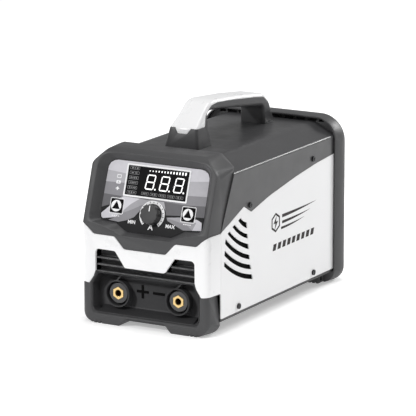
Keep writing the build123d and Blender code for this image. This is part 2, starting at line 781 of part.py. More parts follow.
def socket(side, name):
    with BuildPart() as body:
        with BuildSketch(at_socket(side, disc_front)):
            Circle(9.8)
        extrude(amount=-(bay_floor + 0.9 - disc_front))
        fillet(body.edges().group_by(Axis.Y)[0], 0.8)
        with BuildSketch(at_socket(side, bay_floor + 0.8)):
            Circle(8.0)
        extrude(amount=-13)
        with BuildSketch(at_socket(side, disc_front - 1)):
            RegularPolygon(hex_corner + 0.05, 6, rotation=30)
        extrude(amount=-16.5, mode=Mode.SUBTRACT)
        with BuildSketch(at_socket(side, disc_front + 10)):
            Circle(4.05)
        extrude(amount=-20, mode=Mode.SUBTRACT)
    save(body, f"socket_body_{name}")
    with BuildPart() as insert:
        with BuildSketch(at_socket(side, insert_front)):
            RegularPolygon(hex_corner, 6, rotation=30)
        extrude(amount=-(disc_front + 15.4 - insert_front))
        with BuildSketch(at_socket(side, disc_front + 15)):
            Circle(4.0)
        extrude(amount=-17)
        with BuildSketch(at_socket(side, insert_front - 1)):
            Circle(socket_bore)
        extrude(amount=-(bore_depth + 1), mode=Mode.SUBTRACT)
    save(insert, f"socket_insert_{name}")
    with BuildPart() as nut:
        with BuildSketch(at_socket(side, 26.2)):
            RegularPolygon(7.2, 6)
            Circle(4.02, mode=Mode.SUBTRACT)
        extrude(amount=-5)
    save(nut, f"socket_nut_{name}")
    with BuildPart() as bar:
        with BuildSketch(at_socket(side, 31.4)):
            Rectangle(16, 16)
            Circle(4.02, mode=Mode.SUBTRACT)
        extrude(amount=-2.5)
        with BuildSketch(Plane.XY.offset(socket_z + 8)):
            with Locations((side * socket_x, front + 49.7)):
                Rectangle(16, 36.6)
        extrude(amount=-2.5)
        with BuildSketch(Plane.XY.offset(socket_z + 8)):
            with Locations((side * socket_x, front + 66.75)):
                Rectangle(16, 2.5)
        extrude(amount=-(socket_z + 8 - board_top - 0.02))
    save(bar, f"busbar_{name}")


# ---------------------------------------------------------------- power electronics

board_low = 27.0
board_thick = 1.6
board_top = board_low + board_thick
board_start = 62.0
board_end = 205.0
post_spots = [(x, y) for x in (-52, 52) for y in (70.0, 197.0)]
with BuildPart() as power_board:
    with BuildSketch(Plane.XY.offset(board_low)):
        with Locations((0, front + (board_start + board_end) / 2)):
            Rectangle(116, board_end - board_start)
        with Locations(*[(x, front + y) for x, y in post_spots]):
            Circle(2.0, mode=Mode.SUBTRACT)
    extrude(amount=board_thick)
save(power_board, "power_board")

socket(-1, "plus")
socket(1, "minus")

with BuildPart() as power_posts:
    for x, y in post_spots:
        with BuildSketch(Plane.XY.offset(14.4)):
            with Locations((x, front + y)):
                Circle(4.0)
        extrude(amount=board_low - 14.4)
        with BuildSketch(Plane.XY.offset(14.4)):
            with Locations((x, front + y)):
                Circle(1.9)
        extrude(amount=board_top - 14.4 + 2)
save(power_posts, "power_posts")

fins = 9
fin_pitch = 4.6


def heatsink(side, label):
    with BuildPart() as sink:
        with Locations((side * 20.0, front + 138, board_top + 27.2)):
            Box(4.0, 84, 54)
        for i in range(fins):
            height = board_top + 6.0 + i * fin_pitch * 1.25
            with Locations((side * 34.0, front + 138, height)):
                Box(25.0, 84, 1.6)
    save(sink, label)


heatsink(-1, "heatsink_left")
heatsink(1, "heatsink_right")

with BuildPart() as bus_capacitors:
    for x in (-38, 38):
        with BuildSketch(Plane.XY.offset(board_top)):
            with Locations((x, front + 194)):
                Circle(11)
        extrude(amount=42)
    fillet(bus_capacitors.edges().group_by(Axis.Z)[-1], 1.5)
save(bus_capacitors, "bus_capacitors")

with BuildPart() as transformer_core:
    with Locations((0, front + 80, board_top + 22)):
        Box(44, 14, 44)
        Box(26, 20, 26, mode=Mode.SUBTRACT)
        Box(10, 14, 30)
save(transformer_core, "transformer_core")

with BuildPart() as transformer_winding:
    with Locations((0, front + 80, board_top + 22)):
        Box(23, 26, 24)
        Box(10.4, 14.6, 30, mode=Mode.SUBTRACT)
save(transformer_winding, "transformer_winding")

with BuildPart() as output_inductor:
    ring_plane = Plane(origin=(0, front + 190, board_top + 20.2), z_dir=(0, 1, 0))
    with BuildSketch(ring_plane):
        Circle(20)
        Circle(9, mode=Mode.SUBTRACT)
    extrude(amount=7, both=True)
    fillet(output_inductor.edges(), 3)
save(output_inductor, "output_inductor")

with BuildPart() as rectifier:
    with Locations((0, front + 118, board_top + 5.2)):
        Box(26, 26, 10)
        Cylinder(2.4, 20, mode=Mode.SUBTRACT)
save(rectifier, "rectifier")

# ---------------------------------------------------------------- fan

fan_side = 80.0
fan_depth = 22.0
fan_front = plate_front - 0.2 - fan_depth
blade_tip = 35.8
hub_radius = 17.0
blades = 7
with BuildPart() as fan_frame:
    with BuildSketch(at_front(fan_front)):
        with Locations((fan_x, fan_z)):
            RectangleRounded(fan_side, fan_side, 4)
            Circle(fan_reach, mode=Mode.SUBTRACT)
            with GridLocations(71.5, 71.5, 2, 2):
                Circle(2.2, mode=Mode.SUBTRACT)
    extrude(amount=-fan_depth)
    with BuildSketch(at_front(plate_front - 0.2)):
        with Locations((fan_x, fan_z)):
            Circle(14.5)
            with PolarLocations(24, 4, start_angle=45):
                Rectangle(32, 4)
    extrude(amount=3.0)
    with BuildSketch(at_front(plate_front - 3.0)):
        with Locations((fan_x, fan_z)):
            Circle(2.0)
    extrude(amount=12)
save(fan_frame, "fan_frame")

with BuildPart() as fan_rotor:
    with BuildSketch(at_front(fan_front + 2)):
        with Locations((fan_x, fan_z)):
            Circle(hub_radius)
    extrude(amount=-15)
    for i in range(blades):
        angle = 360 / blades * i
        blade_plane = Plane(
            origin=(fan_x, front + fan_front + 9.5, fan_z),
            x_dir=(0, 1, 0),
            z_dir=(sin(radians(angle)), 0, cos(radians(angle))),
        )
        with BuildSketch(blade_plane.offset(hub_radius - 1.5)):
            Rectangle(16.5, 1.5, rotation=38)
        extrude(amount=blade_tip - hub_radius + 1.5)
    with BuildSketch(at_front(fan_front + 20)):
        with Locations((fan_x, fan_z)):
            Circle(2.05)
    extrude(amount=14, mode=Mode.SUBTRACT)
save(fan_rotor, "fan_rotor")

with BuildPart() as fan_guard:
    guard_plane = at_front(plate_front + plate + 3.2)
    for radius in (8, 16, 24, 32):
        with BuildSketch(guard_plane):
            with Locations((fan_x, fan_z)):
                Circle(radius + 0.9)
                Circle(radius - 0.9, mode=Mode.SUBTRACT)
        extrude(amount=-1.8)
    with BuildSketch(guard_plane.offset(-1.5)):
        with Locations((fan_x, fan_z)):
            with PolarLocations(29, 4, start_angle=45):
                Rectangle(45, 1.8)
            with GridLocations(71.5, 71.5, 2, 2):
                Circle(4.0)
    extrude(amount=-1.8)
    with BuildSketch(at_front(plate_front + plate + 0.02)):
        with Locations((fan_x, fan_z)):
            with GridLocations(71.5, 71.5, 2, 2):
                Circle(4.0)
    extrude(amount=-6.2)
    with BuildSketch(at_front(plate_front)):
        with Locations((fan_x, fan_z)):
            with GridLocations(71.5, 71.5, 2, 2):
                Circle(2.4)
    extrude(amount=-20, mode=Mode.SUBTRACT)
save(fan_guard, "fan_guard")

with BuildPart() as fan_screws:
    for x in (-35.75, 35.75):
        for z in (-35.75, 35.75):
            with BuildSketch(at_front(plate_front + plate + 6.55)):
                with Locations((fan_x + x, fan_z + z)):
                    Circle(3.6)
            extrude(amount=-2.0)
            with BuildSketch(at_front(plate_front + plate + 6.55)):
                with Locations((fan_x + x, fan_z + z)):
                    Circle(1.7)
            extrude(amount=26)
save(fan_screws, "fan_screws")

# ---------------------------------------------------------------- mains fittings on the rear panel

pivot_y = plate_front + plate - 1.0  # the rocker's axis, from the front face
with BuildPart() as switch_body:
    with BuildSketch(at_front(plate_front + plate + 1.8)):
        with Locations((switch_x, switch_z)):
            RectangleRounded(31, 25, 1.5)
    extrude(amount=1.7)
    with BuildSketch(at_front(plate_front + plate + 0.2)):
        with Locations((switch_x, switch_z)):
            Rectangle(27, 20.2)
    extrude(amount=20)
    with BuildSketch(at_front(plate_front + plate + 4)):
        with Locations((switch_x, switch_z)):
            Rectangle(23, 16)
    extrude(amount=16, mode=Mode.SUBTRACT)
    with Locations(Location((switch_x, front + pivot_y, switch_z), (0, 90, 0))):
        Cylinder(1.55, 25.6, mode=Mode.SUBTRACT)
save(switch_body, "switch_body")

rocker_rest = radians(7)  # the rocker lies tilted to its off side
rocker_plane = Plane(
    origin=(switch_x, front + pivot_y, switch_z),
    x_dir=(0, cos(rocker_rest), sin(rocker_rest)),
    z_dir=(1, 0, 0),
)
with BuildPart() as switch_rocker:
    with BuildSketch(rocker_plane):
        outline([(-4, -6.0, 1), (4.4, -7.2, 0.5), (3.2, 0, 0), (4.4, 7.2, 0.5), (-4, 6.0, 1)])
    extrude(amount=11.2, both=True)
    with BuildSketch(rocker_plane):
        Circle(1.5)
    extrude(amount=12.6, both=True)
save(switch_rocker, "switch_rocker")

gland_bore = 4.0
with BuildPart() as cable_gland:
    with BuildSketch(at_front(plate_front + plate + 4.2)):
        with Locations((gland_x, gland_z)):
            RegularPolygon(11.5, 6)
    extrude(amount=4.15)
    with BuildSketch(at_front(plate_front + plate + 4.1)):
        with Locations((gland_x, gland_z)):
            Circle(9.2)
    extrude(amount=-10.5)
    fillet(cable_gland.edges().group_by(Axis.Y)[-1], 1.6)
    with BuildSketch(at_front(plate_front + plate + 0.1)):
        with Locations((gland_x, gland_z)):
            Circle(8.0)
    extrude(amount=12)
    with BuildSketch(at_front(plate_front + 30)):
        with Locations((gland_x, gland_z)):
            Circle(gland_bore)
    extrude(amount=60, mode=Mode.SUBTRACT)
save(cable_gland, "cable_gland")

with BuildPart() as gland_nut:
    with BuildSketch(at_front(plate_front - 0.05)):
        with Locations((gland_x, gland_z)):
            RegularPolygon(11.5, 6)
            Circle(8.02, mode=Mode.SUBTRACT)
    extrude(amount=4.5)
save(gland_nut, "gland_nut")

with BuildPart() as earth_stud:
    with BuildSketch(at_front(plate_front - 4)):
        with Locations((earth_x, earth_z)):
            Circle(3.0)
    extrude(amount=-20)
    for start, length in ((plate_front - 3.6, 3.5), (plate_front + plate + 0.05, 4.0)):
        with BuildSketch(at_front(start)):
            with Locations((earth_x, earth_z)):
                RegularPolygon(5.8, 6)
        extrude(amount=-length)
save(earth_stud, "earth_stud")
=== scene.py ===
import json
import math

import bpy
from mathutils import Matrix, Vector

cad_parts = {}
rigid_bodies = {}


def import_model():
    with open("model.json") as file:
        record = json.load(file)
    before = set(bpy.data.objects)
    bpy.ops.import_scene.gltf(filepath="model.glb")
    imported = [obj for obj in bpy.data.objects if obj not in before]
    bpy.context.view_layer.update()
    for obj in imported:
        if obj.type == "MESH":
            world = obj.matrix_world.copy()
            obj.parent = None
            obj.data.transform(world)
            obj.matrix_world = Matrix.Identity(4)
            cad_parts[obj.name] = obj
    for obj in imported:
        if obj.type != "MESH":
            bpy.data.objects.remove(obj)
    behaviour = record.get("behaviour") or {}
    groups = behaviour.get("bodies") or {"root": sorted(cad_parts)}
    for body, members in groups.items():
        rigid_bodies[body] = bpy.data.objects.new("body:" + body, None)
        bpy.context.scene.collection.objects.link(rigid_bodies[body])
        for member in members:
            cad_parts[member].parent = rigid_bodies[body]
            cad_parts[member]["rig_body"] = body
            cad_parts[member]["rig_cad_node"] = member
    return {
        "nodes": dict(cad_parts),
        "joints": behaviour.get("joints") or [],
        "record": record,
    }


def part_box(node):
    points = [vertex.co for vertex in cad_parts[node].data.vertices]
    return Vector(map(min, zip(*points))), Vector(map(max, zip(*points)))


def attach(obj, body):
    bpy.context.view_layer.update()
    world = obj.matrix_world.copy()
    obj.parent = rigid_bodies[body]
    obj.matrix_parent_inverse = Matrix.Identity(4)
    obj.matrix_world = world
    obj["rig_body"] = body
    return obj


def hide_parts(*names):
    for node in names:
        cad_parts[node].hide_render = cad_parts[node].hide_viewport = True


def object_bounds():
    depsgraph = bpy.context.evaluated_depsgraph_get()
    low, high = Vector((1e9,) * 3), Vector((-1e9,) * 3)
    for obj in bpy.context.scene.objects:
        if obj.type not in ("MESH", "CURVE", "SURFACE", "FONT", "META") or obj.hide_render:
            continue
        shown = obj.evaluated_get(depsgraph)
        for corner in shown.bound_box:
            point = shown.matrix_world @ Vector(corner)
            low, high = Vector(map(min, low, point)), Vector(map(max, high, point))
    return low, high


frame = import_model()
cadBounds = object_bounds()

nodes = frame["nodes"]
record = frame["record"]
joints = {joint["name"]: joint for joint in frame["joints"]}
mm = 0.001
print("frame loaded:", len(nodes), "parts")


def deselectAll():
    if bpy.context.object and bpy.context.object.mode != "OBJECT":
        bpy.ops.object.mode_set(mode="OBJECT")
    bpy.ops.object.select_all(action="DESELECT")


def pick(piece):
    deselectAll()
    piece.select_set(True)
    bpy.context.view_layer.objects.active = piece


def applyModifier(piece, kind, **settings):
    pick(piece)
    modifier = piece.modifiers.new(kind.title(), kind)
    for key, value in settings.items():
        setattr(modifier, key, value)
    bpy.ops.object.modifier_apply(modifier=modifier.name)


def applyPlace(piece):
    pick(piece)
    bpy.ops.object.transform_apply(location=True, rotation=True, scale=True)


def finishPiece(piece, name, material, body="root"):
    piece.name = name
    piece.data.name = name
    piece.data.materials.clear()
    piece.data.materials.append(material)
    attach(piece, body)
    return piece


# angles in degrees, the weld distance in metres
soften = {"weldDistance": 0.000004, "flatAngle": 0.4, "edgeAngle": 32, "segments": 2, "smoothAngle": 30}


def softenShell(nodeName, material, width):
    # a welded copy of the moulding with real rounded edges
    pick(nodes[nodeName])
    bpy.ops.object.duplicate()
    piece = bpy.context.object
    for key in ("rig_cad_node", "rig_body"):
        if key in piece:
            del piece[key]
    piece.parent = None
    bpy.ops.object.mode_set(mode="EDIT")
    bpy.ops.mesh.select_all(action="SELECT")
    bpy.ops.mesh.remove_doubles(threshold=soften["weldDistance"])
    bpy.ops.mesh.dissolve_limited(angle_limit=math.radians(soften["flatAngle"]))
    bpy.ops.object.mode_set(mode="OBJECT")
    applyModifier(piece, "BEVEL", width=width, segments=soften["segments"], limit_method="ANGLE",
                  angle_limit=math.radians(soften["edgeAngle"]), use_clamp_overlap=True)
    pick(piece)
    bpy.ops.object.shade_smooth_by_angle(angle=math.radians(soften["smoothAngle"]))
    finishPiece(piece, nodeName + "Shell", material)
    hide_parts(nodeName)


def newMaterial(name):
    material = bpy.data.materials.new(name)
    material.use_nodes = True
    tree = material.node_tree
    return material, tree, tree.nodes["Principled BSDF"]


def setInputs(node, values):
    for key, value in values.items():
        node.inputs[key].default_value = value


def objectNoise(tree, scale, detail=3.0, roughness=0.55):
    place = tree.nodes.new("ShaderNodeTexCoord")
    noise = tree.nodes.new("ShaderNodeTexNoise")
    setInputs(noise, {"Scale": scale, "Detail": detail, "Roughness": roughness})
    tree.links.new(place.outputs["Object"], noise.inputs["Vector"])
    return noise.outputs["Fac"]


def spread(tree, value, low, high, fromLow=0.3, fromHigh=0.7):
    node = tree.nodes.new("ShaderNodeMapRange")
    setInputs(node, {"From Min": fromLow, "From Max": fromHigh, "To Min": low, "To Max": high})
    tree.links.new(value, node.inputs["Value"])
    return node.outputs["Result"]


def mixColour(tree, factor, first, second):
    node = tree.nodes.new("ShaderNodeMix")
    node.data_type = "RGBA"
    tree.links.new(factor, node.inputs["Factor"])
    for index, colour in ((6, first), (7, second)):
        if isinstance(colour, tuple):
            node.inputs[index].default_value = (*colour, 1)
        else:
            tree.links.new(colour, node.inputs[index])
    return node.outputs[2]


def scaled(colour, factor):
    return tuple(min(1.0, channel * factor) for channel in colour)


def edgeMask(tree, radius):
    # close to 1 along convex edges, 0 on flat faces
    bevel = tree.nodes.new("ShaderNodeBevel")
    bevel.samples = 4
    bevel.inputs["Radius"].default_value = radius
    geometry = tree.nodes.new("ShaderNodeNewGeometry")
    dot = tree.nodes.new("ShaderNodeVectorMath")
    dot.operation = "DOT_PRODUCT"
    tree.links.new(bevel.outputs["Normal"], dot.inputs[0])
    tree.links.new(geometry.outputs["Normal"], dot.inputs[1])
    return spread(tree, dot.outputs["Value"], 1.0, 0.0, 0.86, 0.995), bevel.outputs["Normal"]


def mouldedPlastic(name, look):
    # satin moulding: spark-eroded grain, slow colour drift, convex edges lighter: rubbed wear on most
    # mouldings, painted highlight on the grille bars
    material, tree, shader = newMaterial(name)
    colour = look["colour"]
    drift = spread(tree, objectNoise(tree, look.get("driftScale", 14)), 0, 1)
    base = mixColour(tree, drift, scaled(colour, 1 - look["drift"]), scaled(colour, 1 + look["drift"]))
    mask, softNormal = edgeMask(tree, look.get("edgeRadius", 0.0009))
    # edge lightening: rubbed wear, and on the grille a painted highlight where the bar edges catch the light
    rubbedAndHighlit = tree.nodes.new("ShaderNodeMath")
    rubbedAndHighlit.operation = "MULTIPLY"
    tree.links.new(mask, rubbedAndHighlit.inputs[0])
    tree.links.new(spread(tree, objectNoise(tree, 160), 0.1, look["edgeWearAndHighlight"]), rubbedAndHighlit.inputs[1])
    wornAndHighlitColour = mixColour(tree, rubbedAndHighlit.outputs[0], base, look["edgeColour"])
    tree.links.new(wornAndHighlitColour, shader.inputs["Base Color"])
    rough = spread(tree, objectNoise(tree, 55, 4), look["roughness"] - 0.05, look["roughness"] + 0.07)
    tree.links.new(rough, shader.inputs["Roughness"])
    bump = tree.nodes.new("ShaderNodeBump")
    setInputs(bump, {"Strength": look["grainStrength"], "Distance": look["grainDepth"]})
    tree.links.new(objectNoise(tree, look["grainScale"], 2.0, 0.6), bump.inputs["Height"])
    tree.links.new(softNormal, bump.inputs["Normal"])
    tree.links.new(bump.outputs["Normal"], shader.inputs["Normal"])
    shader.inputs["Coat Weight"].default_value = look.get("coat", 0.0)
    shader.inputs["Coat Roughness"].default_value = look.get("coatRoughness", 0.2)
    shader.inputs["Specular IOR Level"].default_value = look.get("specular", 0.5)
    return material


def printedInk(name, look):
    # screen-printed ink: faint mottling and an even gloss
    material, tree, shader = newMaterial(name)
    colour = look["colour"]
    mottle = spread(tree, objectNoise(tree, look.get("mottleScale", 220)), 0, 1)
    tint = mixColour(tree, mottle, scaled(colour, 0.97), scaled(colour, 1.03))
    tree.links.new(tint, shader.inputs["Base Color"])
    rough = spread(tree, objectNoise(tree, 90, 3), look["roughness"] - 0.04, look["roughness"] + 0.06)
    tree.links.new(rough, shader.inputs["Roughness"])
    bump = tree.nodes.new("ShaderNodeBump")
    setInputs(bump, {"Strength": 0.08, "Distance": 0.00004})
    tree.links.new(objectNoise(tree, 1400, 2), bump.inputs["Height"])
    tree.links.new(bump.outputs["Normal"], shader.inputs["Normal"])
    shader.inputs["Specular IOR Level"].default_value = look.get("specular", 0.12)
    if look.get("glow"):
        shader.inputs["Emission Color"].default_value = (*colour, 1)
        shader.inputs["Emission Strength"].default_value = look["glow"]
    return material


def machinedMetal(name, look):
    # turned or brushed metal: fine lines of lighter and darker tint
    material, tree, shader = newMaterial(name)
    colour = look["colour"]
    place = tree.nodes.new("ShaderNodeTexCoord")
    stretch = tree.nodes.new("ShaderNodeMapping")
    stretch.inputs["Scale"].default_value = look["stretch"]
    tree.links.new(place.outputs["Object"], stretch.inputs["Vector"])
    lines = tree.nodes.new("ShaderNodeTexNoise")
    setInputs(lines, {"Scale": look["lineScale"], "Detail": 4.0, "Roughness": 0.6})
    tree.links.new(stretch.outputs["Vector"], lines.inputs["Vector"])
    tint = mixColour(tree, spread(tree, lines.outputs["Fac"], 0, 1), scaled(colour, 0.82), scaled(colour, 1.08))
    tree.links.new(tint, shader.inputs["Base Color"])
    shader.inputs["Metallic"].default_value = 1.0
    rough = spread(tree, lines.outputs["Fac"], look["roughness"] - 0.07, look["roughness"] + 0.09)
    tree.links.new(rough, shader.inputs["Roughness"])
    softNormal = edgeMask(tree, 0.0004)[1]
    bump = tree.nodes.new("ShaderNodeBump")
    setInputs(bump, {"Strength": 0.25, "Distance": 0.00005})
    tree.links.new(lines.outputs["Fac"], bump.inputs["Height"])
    tree.links.new(softNormal, bump.inputs["Normal"])
    tree.links.new(bump.outputs["Normal"], shader.inputs["Normal"])
    return material


darkPlastic = mouldedPlastic("darkPlastic", {
    "colour": (0.062, 0.062, 0.064), "drift": 0.04, "roughness": 0.44, "edgeWearAndHighlight": 0.45, "specular": 0.3,
    "edgeColour": (0.17, 0.17, 0.175), "grainScale": 1500, "grainStrength": 0.3, "grainDepth": 0.00012})
# socket bay: the same dark plastic, coloured darker as painted shade for the recess
shadedBayPlastic = mouldedPlastic("shadedBayPlastic", {
    "colour": (0.05, 0.05, 0.052), "drift": 0.05, "roughness": 0.5, "edgeWearAndHighlight": 0.55, "specular": 0.25,
    "edgeColour": (0.13, 0.13, 0.135), "grainScale": 1500, "grainStrength": 0.3, "grainDepth": 0.00012})
# grille: the bar edges are lightened strongly as a painted highlight
grillePlastic = mouldedPlastic("grillePlastic", {
    "colour": (0.05, 0.05, 0.052), "drift": 0.05, "roughness": 0.5, "edgeWearAndHighlight": 1.0, "specular": 0.25,
    "edgeColour": (0.42, 0.42, 0.42), "grainScale": 1500, "grainStrength": 0.3, "grainDepth": 0.00012})
whitePlastic = mouldedPlastic("whitePlastic", {
    "colour": (0.83, 0.83, 0.835), "drift": 0.012, "roughness": 0.3, "edgeWearAndHighlight": 0.4,
    "edgeColour": (0.88, 0.88, 0.88), "grainScale": 700, "grainStrength": 0.06, "grainDepth": 0.00006,
    "coat": 0.15, "coatRoughness": 0.12})
# white sheet: colour lowered below the white mouldings as painted shade for the side panels, which face away
# from the key light
whiteSheet = mouldedPlastic("whiteSheet", {
    "colour": (0.76, 0.76, 0.765), "drift": 0.012, "roughness": 0.42, "edgeWearAndHighlight": 0.5,
    "edgeColour": (0.85, 0.85, 0.85), "grainScale": 520, "grainStrength": 0.14, "grainDepth": 0.00012,
    "edgeRadius": 0.0004})
darkSheet = mouldedPlastic("darkSheet", {
    "colour": (0.052, 0.052, 0.054), "drift": 0.04, "roughness": 0.36, "edgeWearAndHighlight": 0.4, "specular": 0.3,
    "edgeColour": (0.2, 0.2, 0.2), "grainScale": 620, "grainStrength": 0.18, "grainDepth": 0.00012,
    "coat": 0.1, "coatRoughness": 0.25, "edgeRadius": 0.0005})
blackSheet = mouldedPlastic("blackSheet", {
    "colour": (0.022, 0.022, 0.023), "drift": 0.08, "roughness": 0.45, "edgeWearAndHighlight": 0.6,
    "edgeColour": (0.1, 0.1, 0.1), "grainScale": 600, "grainStrength": 0.2, "grainDepth": 0.00012})
blackMoulding = mouldedPlastic("blackMoulding", {
    "colour": (0.018, 0.018, 0.019), "drift": 0.08, "roughness": 0.42, "edgeWearAndHighlight": 0.5,
    "edgeColour": (0.07, 0.07, 0.07), "grainScale": 1500, "grainStrength": 0.25, "grainDepth": 0.0001})
socketPlastic = mouldedPlastic("socketPlastic", {
    "colour": (0.055, 0.055, 0.057), "drift": 0.07, "roughness": 0.38, "edgeWearAndHighlight": 0.6,
    "edgeColour": (0.14, 0.14, 0.14), "grainScale": 1300, "grainStrength": 0.25, "grainDepth": 0.0001})
knobPlastic = mouldedPlastic("knobPlastic", {
    "colour": (0.016, 0.016, 0.017), "drift": 0.06, "roughness": 0.3, "edgeWearAndHighlight": 0.6,
    "edgeColour": (0.09, 0.09, 0.09), "grainScale": 1300, "grainStrength": 0.12, "grainDepth": 0.00008})
redPlastic = mouldedPlastic("redPlastic", {
    "colour": (0.42, 0.02, 0.015), "drift": 0.05, "roughness": 0.28, "edgeWearAndHighlight": 0.4,
    "edgeColour": (0.6, 0.1, 0.08), "grainScale": 1300, "grainStrength": 0.1, "grainDepth": 0.00008})
blackScrew = machinedMetal("blackScrew", {
    "colour": (0.05, 0.05, 0.052), "stretch": (1, 1, 1), "lineScale": 900, "roughness": 0.38})
zincSteel = machinedMetal("zincSteel", {
    "colour": (0.62, 0.62, 0.6), "stretch": (1, 1, 8), "lineScale": 500, "roughness": 0.32})
brass = machinedMetal("brass", {
    "colour": (0.83, 0.6, 0.27), "stretch": (6, 1, 6), "lineScale": 420, "roughness": 0.24})
copper = machinedMetal("copper", {
    "colour": (0.78, 0.36, 0.2), "stretch": (1, 8, 1), "lineScale": 380, "roughness": 0.3})
aluminium = machinedMetal("aluminium", {
    "colour": (0.72, 0.73, 0.74), "stretch": (8, 0.6, 8), "lineScale": 300, "roughness": 0.34})
ferrite = mouldedPlastic("ferrite", {
    "colour": (0.03, 0.03, 0.032), "drift": 0.15, "roughness": 0.6, "edgeWearAndHighlight": 0.5,
    "edgeColour": (0.1, 0.1, 0.1), "grainScale": 1700, "grainStrength": 0.5, "grainDepth": 0.0002})
boardGreen = mouldedPlastic("boardGreen", {
    "colour": (0.02, 0.12, 0.05), "drift": 0.2, "roughness": 0.35, "edgeWearAndHighlight": 0.4,
    "edgeColour": (0.3, 0.32, 0.2), "grainScale": 900, "grainStrength": 0.15, "grainDepth": 0.0001})
sleeveBlue = mouldedPlastic("sleeveBlue", {
    "colour": (0.015, 0.025, 0.09), "drift": 0.1, "roughness": 0.25, "edgeWearAndHighlight": 0.4,
    "edgeColour": (0.2, 0.2, 0.25), "grainScale": 900, "grainStrength": 0.08, "grainDepth": 0.0001})
filmBlack = printedInk("filmBlack", {"colour": (0.012, 0.012, 0.013), "roughness": 0.34})
windowBlack = printedInk("windowBlack", {"colour": (0.008, 0.008, 0.009), "roughness": 0.12})
printBlack = printedInk("printBlack", {"colour": (0.003, 0.003, 0.003), "roughness": 0.6, "specular": 0.05})
printWhite = printedInk("printWhite", {"colour": (0.86, 0.86, 0.87), "roughness": 0.35})
digitWhite = printedInk("digitWhite", {"colour": (1.0, 1.0, 1.0), "roughness": 0.3, "glow": 0.35})
dimGrey = printedInk("dimGrey", {"colour": (0.24, 0.24, 0.245), "roughness": 0.3})
emblemInk = printedInk("emblemInk", {"colour": (0.02, 0.014, 0.014), "roughness": 0.4})
linerBlack = printedInk("linerBlack", {"colour": (0.006, 0.006, 0.006), "roughness": 0.8, "specular": 0.05})
toneLevels = {"pale": 0.62, "light": 0.45, "silver": 0.36, "mid": 0.26, "slate": 0.14}
tones = {}
for toneName, level in toneLevels.items():
    violet = (level * 0.985, level * 0.97, level * 1.03)
    tones[toneName] = printedInk("filmInk_" + toneName, {"colour": violet, "roughness": 0.34})
print("materials made:", len(bpy.data.materials))

nodeMaterials = {
    "dark_plastic": darkPlastic, "white_plastic": whitePlastic, "white_sheet": whiteSheet,
    "dark_sheet": darkSheet, "black_sheet": blackSheet, "black_print": printBlack, "white_print": printWhite,
    "black_steel": blackScrew, "zinc_steel": zincSteel, "printed_film": filmBlack,
    "smoked_window": windowBlack, "black_moulding": blackMoulding, "button_plastic": printBlack,
    "knob_plastic": knobPlastic, "circuit_board": boardGreen, "aluminium": aluminium,
    "capacitor_sleeve": sleeveBlue, "ferrite": ferrite, "copper": copper, "red_plastic": redPlastic,
    "brass": brass, "socket_plastic": socketPlastic}
for part in record["subparts"]:
    target = nodes[part["node"]]
    target.data.materials.clear()
    target.data.materials.append(nodeMaterials[part["material_slot"]])
# the bay takes the darker copy: painted shade in the recess
nodes["socket_bay"].data.materials[0] = shadedBayPlastic
nodes["front_grille"].data.materials[0] = grillePlastic

# mouldings that get rounded edges: material, slot and edge width
shells = {
    "front_bezel": (darkPlastic, "dark_plastic", 0.0006),
    "front_fascia": (whitePlastic, "white_plastic", 0.0006),
    "front_bumper": (darkPlastic, "dark_plastic", 0.0007),
    "rear_frame": (darkPlastic, "dark_plastic", 0.0006),
    "handle_core": (darkPlastic, "dark_plastic", 0.0005),
    "handle_cap": (whitePlastic, "white_plastic", 0.0005),
    "socket_bay": (shadedBayPlastic, "dark_plastic", 0.0003),
}
for nodeName, (material, slotName, width) in shells.items():
    softenShell(nodeName, material, width)
print("mouldings softened:", len(shells))

# the control film is square to the knob's axis
knob = joints["knob_turn"]
filmNormal = Vector(knob["axis"]).normalized()
filmRight = Vector((1, 0, 0))
filmUp = filmNormal.cross(filmRight)
dialCentre = Vector(knob["pos_m"])


def filmPlace(u=0.0, v=0.0, height=0.0):
    # u to the right and v up the panel from the dial's centre, height off the film's back, all in mm
    spot = dialCentre + (filmRight * u + filmUp * v + filmNormal * height) * mm
    turn = Matrix((filmRight, filmUp, filmNormal)).transposed().to_4x4()
    return Matrix.Translation(spot) @ turn


def flatShape(loops, thickness, place):
    # a filled flat outline, holes included, made a mesh before it is placed; loops in mm
    outline = bpy.data.curves.new("outline", "CURVE")
    outline.dimensions = "2D"
    outline.fill_mode = "BOTH"
    outline.extrude = thickness * mm / 2
    for loop in loops:
        spline = outline.splines.new("POLY")
        spline.points.add(len(loop) - 1)
        for point, (a, b) in zip(spline.points, loop):
            point.co = (a * mm, b * mm, 0, 1)
        spline.use_cyclic_u = True
    piece = bpy.data.objects.new("flatShape", outline)
    bpy.context.collection.objects.link(piece)
    pick(piece)
    bpy.ops.object.convert(target="MESH")
    piece = bpy.context.object
    piece.matrix_world = place
    applyPlace(piece)
    return piece


def ring(radius, x=0.0, y=0.0, steps=32):
    return [(x + radius * math.cos(math.tau * i / steps), y + radius * math.sin(math.tau * i / steps))
            for i in range(steps)]


def roundedBox(x, y, width, height, radius, steps=4):
    loop = []
    for cx, cy, start in ((1, 1, 0), (-1, 1, 90), (-1, -1, 180), (1, -1, 270)):
        for i in range(steps + 1):
            angle = math.radians(start + 90 * i / steps)
            loop.append((x + cx * (width / 2 - radius) + radius * math.cos(angle),
                         y + cy * (height / 2 - radius) + radius * math.sin(angle)))
    return loop


# heights in mm above the plane that the film is stuck to
filmTop = 0.62
windowTop = 0.9
buttonTop = 1.9
ink = {"depth": 0.05, "gap": 0.01, "layerStep": 0.04}


def filmPrint(name, loops, material, height=filmTop, body="root", layer=0):
    lift = height + ink["depth"] / 2 + ink["gap"] + layer * ink["layerStep"]
    return finishPiece(flatShape(loops, ink["depth"], filmPlace(0, 0, lift)), name, material, body)


